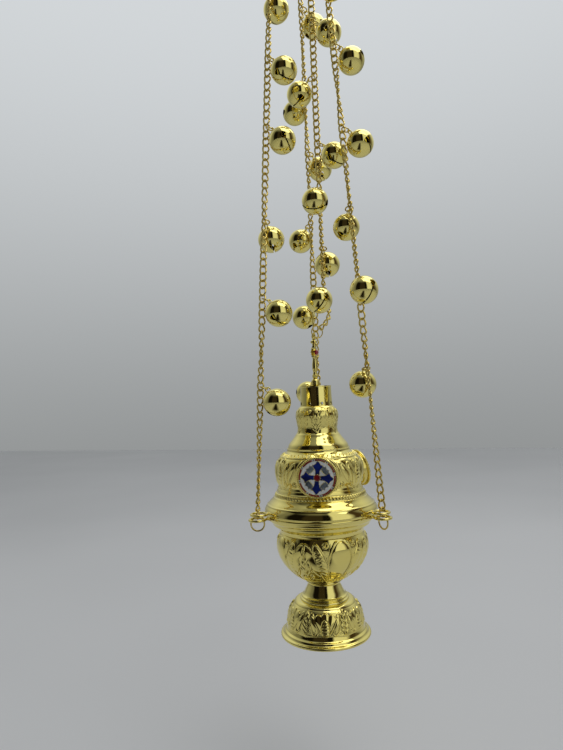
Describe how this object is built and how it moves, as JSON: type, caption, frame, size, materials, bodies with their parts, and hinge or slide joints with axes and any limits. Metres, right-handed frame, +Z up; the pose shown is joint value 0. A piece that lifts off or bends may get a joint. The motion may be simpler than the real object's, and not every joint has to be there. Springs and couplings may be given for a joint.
{
  "type": "thurible censer",
  "caption": "Hanging brass thurible censer: embossed footed bowl, lid that slides up its chains, enamel cross medallions, and round bells on every chain.",
  "frame": {"origin": "the seat inside the top of the hanging ring, where a hook or finger carries the censer", "axes": "+Z up along the hanging line; -Y is the front, where one medallion faces; +X to the right seen from the front"},
  "size_m": [0.1121, 0.1176, 0.7205],
  "materials": {
    "polished_brass": "polished, embossed with leaves and scrolls",
    "cast_brass": "polished cast brass",
    "chain_brass": "bright curb chain and rings",
    "bell_brass": "mirror polished",
    "enamel": "gloss vitreous enamel with a cross",
    "red_glass": "polished cabochon",
    "cup_steel": "satin",
    "screw_steel": "machined"
  },
  "bodies": {
    "hanger": {"hanging_ring": "cast_brass"},
    "suspension": {"cap_eye": "cast_brass", "cap_eye_nut": "screw_steel", "cap": "polished_brass", "guide_bush": "cast_brass", "cap_links": "chain_brass", "chain_left": "chain_brass", "chain_right": "chain_brass", "chain_back": "chain_brass", "bell_rings_left": "chain_brass", "bell_rings_right": "chain_brass", "bell_rings_back": "chain_brass", "end_rings": "chain_brass", "bowl": "polished_brass", "bowl_rim": "polished_brass", "bowl_lugs": "cast_brass", "stem": "polished_brass", "foot": "polished_brass", "assembly_bolt": "screw_steel", "assembly_nut": "screw_steel"},
    "lid": {"lid_skirt": "polished_brass", "lid_dome": "polished_brass", "lid_neck": "polished_brass", "chimney": "polished_brass", "lid_lugs": "cast_brass", "medallion_bezels": "cast_brass", "medallion_enamels": "enamel", "finial": "cast_brass", "finial_gem": "red_glass", "finial_nut": "screw_steel", "lid_ring": "chain_brass", "lid_chain": "chain_brass", "bell_rings_lid": "chain_brass"},
    "cup": {"inner_cup": "cup_steel"},
    "pull": {"pull_ring": "cast_brass"},
    "bell_left_1": {"bell_left_1": "bell_brass"},
    "bell_left_2": {"bell_left_2": "bell_brass"},
    "bell_left_3": {"bell_left_3": "bell_brass"},
    "bell_left_4": {"bell_left_4": "bell_brass"},
    "bell_left_5": {"bell_left_5": "bell_brass"},
    "bell_left_6": {"bell_left_6": "bell_brass"},
    "bell_right_1": {"bell_right_1": "bell_brass"},
    "bell_right_2": {"bell_right_2": "bell_brass"},
    "bell_right_3": {"bell_right_3": "bell_brass"},
    "bell_right_4": {"bell_right_4": "bell_brass"},
    "bell_right_5": {"bell_right_5": "bell_brass"},
    "bell_right_6": {"bell_right_6": "bell_brass"},
    "bell_back_1": {"bell_back_1": "bell_brass"},
    "bell_back_2": {"bell_back_2": "bell_brass"},
    "bell_back_3": {"bell_back_3": "bell_brass"},
    "bell_back_4": {"bell_back_4": "bell_brass"},
    "bell_back_5": {"bell_back_5": "bell_brass"},
    "bell_back_6": {"bell_back_6": "bell_brass"},
    "bell_lid_1": {"bell_lid_1": "bell_brass"},
    "bell_lid_2": {"bell_lid_2": "bell_brass"},
    "bell_lid_3": {"bell_lid_3": "bell_brass"},
    "bell_lid_4": {"bell_lid_4": "bell_brass"},
    "bell_lid_5": {"bell_lid_5": "bell_brass"},
    "bell_lid_6": {"bell_lid_6": "bell_brass"}
  },
  "joints": [
    {"name": "swing", "type": "hinge", "parent": "hanger", "child": "suspension", "pos_m": [0, 0, -0.0275], "axis": [-0.5, 0.866, 0], "range_deg": [-15, 45]},
    {"name": "lid_slide", "type": "slide", "parent": "suspension", "child": "lid", "axis": [0, 0, 1], "range_m": [0, 0.035]},
    {"name": "cup_lift", "type": "slide", "parent": "suspension", "child": "cup", "axis": [0, 0, 1], "range_m": [0, 0.022]},
    {"name": "bell_left_1_swing", "type": "hinge", "parent": "suspension", "child": "bell_left_1", "pos_m": [-0.03707, -0.02616, -0.5172], "axis": [-0.2588, -0.9659, 0], "range_deg": [0, 40]},
    {"name": "bell_left_2_swing", "type": "hinge", "parent": "suspension", "child": "bell_left_2", "pos_m": [-0.03304, -0.02383, -0.44655], "axis": [-0.2588, -0.9659, 0], "range_deg": [0, 40]},
    {"name": "bell_left_3_swing", "type": "hinge", "parent": "suspension", "child": "bell_left_3", "pos_m": [-0.03345, -0.01456, -0.38179], "axis": [0.9659, -0.2588, 0], "range_deg": [0, 40]},
    {"name": "bell_left_4_swing", "type": "hinge", "parent": "suspension", "child": "bell_left_4", "pos_m": [-0.02496, -0.01917, -0.30526], "axis": [-0.2588, -0.9659, 0], "range_deg": [0, 40]},
    {"name": "bell_left_5_swing", "type": "hinge", "parent": "suspension", "child": "bell_left_5", "pos_m": [-0.0216, -0.01723, -0.24639], "axis": [-0.2588, -0.9659, 0], "range_deg": [0, 40]},
    {"name": "bell_left_6_swing", "type": "hinge", "parent": "suspension", "child": "bell_left_6", "pos_m": [-0.02201, -0.00795, -0.18163], "axis": [0.9659, -0.2588, 0], "range_deg": [0, 40]},
    {"name": "bell_right_1_swing", "type": "hinge", "parent": "suspension", "child": "bell_right_1", "pos_m": [0.04052, -0.01864, -0.50543], "axis": [0.9659, 0.2588, 0], "range_deg": [0, 40]},
    {"name": "bell_right_2_swing", "type": "hinge", "parent": "suspension", "child": "bell_right_2", "pos_m": [0.0395, -0.02756, -0.43478], "axis": [-0.9659, -0.2588, 0], "range_deg": [0, 40]},
    {"name": "bell_right_3_swing", "type": "hinge", "parent": "suspension", "child": "bell_right_3", "pos_m": [0.03312, -0.01436, -0.37591], "axis": [0.9659, 0.2588, 0], "range_deg": [0, 40]},
    {"name": "bell_right_4_swing", "type": "hinge", "parent": "suspension", "child": "bell_right_4", "pos_m": [0.03655, -0.01635, -0.31115], "axis": [0.2588, -0.9659, 0], "range_deg": [0, 40]},
    {"name": "bell_right_5_swing", "type": "hinge", "parent": "suspension", "child": "bell_right_5", "pos_m": [0.03251, -0.01401, -0.2405], "axis": [0.2588, -0.9659, 0], "range_deg": [0, 40]},
    {"name": "bell_right_6_swing", "type": "hinge", "parent": "suspension", "child": "bell_right_6", "pos_m": [0.02537, -0.0194, -0.18752], "axis": [-0.9659, -0.2588, 0], "range_deg": [0, 40]},
    {"name": "bell_back_1_swing", "type": "hinge", "parent": "suspension", "child": "bell_back_1", "pos_m": [-0.00412, 0.05304, -0.51131], "axis": [0.7071, 0.7071, 0], "range_deg": [0, 40]},
    {"name": "bell_back_2_swing", "type": "hinge", "parent": "suspension", "child": "bell_back_2", "pos_m": [-0.00412, 0.04838, -0.44067], "axis": [0.7071, 0.7071, 0], "range_deg": [0, 40]},
    {"name": "bell_back_3_swing", "type": "hinge", "parent": "suspension", "child": "bell_back_3", "pos_m": [-0.00412, 0.04371, -0.37002], "axis": [0.7071, 0.7071, 0], "range_deg": [0, 40]},
    {"name": "bell_back_4_swing", "type": "hinge", "parent": "suspension", "child": "bell_back_4", "pos_m": [0.00412, 0.03944, -0.30526], "axis": [0.7071, -0.7071, 0], "range_deg": [0, 40]},
    {"name": "bell_back_5_swing", "type": "hinge", "parent": "suspension", "child": "bell_back_5", "pos_m": [-0.00412, 0.03594, -0.25228], "axis": [0.7071, 0.7071, 0], "range_deg": [0, 40]},
    {"name": "bell_back_6_swing", "type": "hinge", "parent": "suspension", "child": "bell_back_6", "pos_m": [0.00412, 0.03089, -0.17574], "axis": [0.7071, -0.7071, 0], "range_deg": [0, 40]},
    {"name": "bell_lid_1_swing", "type": "hinge", "parent": "lid", "child": "bell_lid_1", "pos_m": [0.0085, 0.00015, -0.43551], "axis": [-0.9659, 0.2588, 0], "range_deg": [0, 40]},
    {"name": "bell_lid_2_swing", "type": "hinge", "parent": "lid", "child": "bell_lid_2", "pos_m": [0.01152, 0.01141, -0.40011], "axis": [0.9659, -0.2588, 0], "range_deg": [0, 40]},
    {"name": "bell_lid_3_swing", "type": "hinge", "parent": "lid", "child": "bell_lid_3", "pos_m": [0.0085, 0.00015, -0.35291], "axis": [-0.9659, 0.2588, 0], "range_deg": [0, 40]},
    {"name": "bell_lid_4_swing", "type": "hinge", "parent": "lid", "child": "bell_lid_4", "pos_m": [0.01564, 0.00427, -0.31161], "axis": [-0.2588, -0.9659, 0], "range_deg": [0, 40]},
    {"name": "bell_lid_5_swing", "type": "hinge", "parent": "lid", "child": "bell_lid_5", "pos_m": [0.00438, 0.00729, -0.25261], "axis": [0.2588, 0.9659, 0], "range_deg": [0, 40]},
    {"name": "bell_lid_6_swing", "type": "hinge", "parent": "lid", "child": "bell_lid_6", "pos_m": [0.01564, 0.00427, -0.20541], "axis": [-0.2588, -0.9659, 0], "range_deg": [0, 40]},
    {"name": "pull_ring_swing", "type": "hinge", "parent": "lid", "child": "pull", "pos_m": [0.01001, 0.00578, -0.04789], "axis": [-0.2588, -0.9659, 0], "range_deg": [0, 90]}
  ]
}
